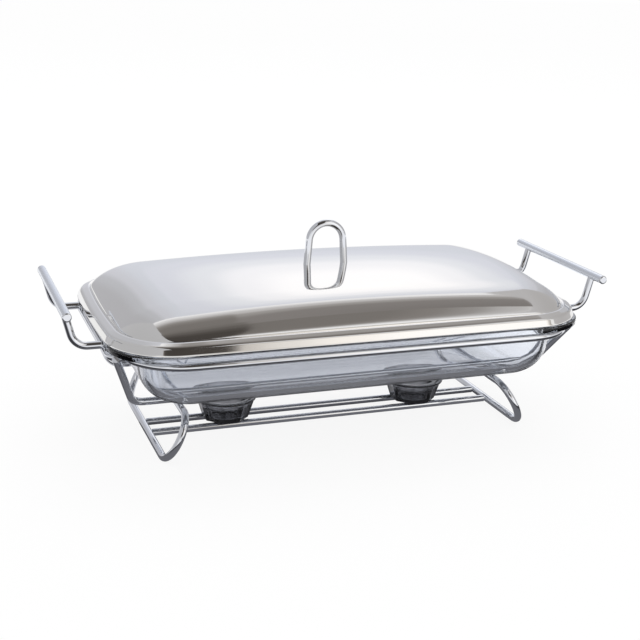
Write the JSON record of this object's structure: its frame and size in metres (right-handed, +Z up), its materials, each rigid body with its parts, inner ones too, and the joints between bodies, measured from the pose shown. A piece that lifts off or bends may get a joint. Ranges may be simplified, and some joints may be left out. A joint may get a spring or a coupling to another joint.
{
  "type": "chafing dish",
  "caption": "Table food warmer: a clear glass baking dish hung in a bent chrome wire stand with end grips, under a polished lift-off lid, over sliding candle cups.",
  "frame": {"origin": "on the table, under the middle of the stand", "axes": "+X along the length towards the right grip, +Y to the back, +Z up"},
  "size_m": [0.4558, 0.229, 0.171],
  "materials": {
    "lid_steel": "pressed stainless steel sheet, mirror polished",
    "wire_chrome": "bright chrome plate on drawn steel wire",
    "satin_steel": "satin plated steel tube",
    "plain_steel": "plain zinc plated fasteners",
    "clear_glass": "pressed clear oven glass, fire polished",
    "smoked_glass": "pressed smoke grey glass"
  },
  "bodies": {
    "stand": {"top_ring": "wire_chrome", "front_cradle": "wire_chrome", "rear_cradle": "wire_chrome", "left_foot": "wire_chrome", "right_foot": "wire_chrome", "front_rail": "wire_chrome", "rear_rail": "wire_chrome", "left_front_limb": "wire_chrome", "left_rear_limb": "wire_chrome", "right_front_limb": "wire_chrome", "right_rear_limb": "wire_chrome", "left_grip": "satin_steel", "right_grip": "satin_steel", "left_front_cap": "wire_chrome", "left_rear_cap": "wire_chrome", "right_front_cap": "wire_chrome", "right_rear_cap": "wire_chrome"},
    "dish": {"glass_dish": "clear_glass"},
    "lid": {"lid_shell": "lid_steel", "lid_handle": "wire_chrome", "lid_handle_screws": "plain_steel", "lid_handle_washers": "plain_steel"},
    "left_cup_body": {"left_cup": "smoked_glass"},
    "right_cup_body": {"right_cup": "smoked_glass"}
  },
  "joints": [
    {"name": "dish_lift", "type": "slide", "parent": "stand", "child": "dish", "axis": [0, 0, 1], "range_m": [0, 0.09]},
    {"name": "lid_lift", "type": "slide", "parent": "dish", "child": "lid", "axis": [0, 0, 1], "range_m": [0, 0.12]},
    {"name": "left_cup_slide", "type": "slide", "parent": "stand", "child": "left_cup_body", "axis": [1, 0, 0], "range_m": [-0.04, 0.055]},
    {"name": "right_cup_slide", "type": "slide", "parent": "stand", "child": "right_cup_body", "axis": [1, 0, 0], "range_m": [-0.055, 0.04]}
  ]
}
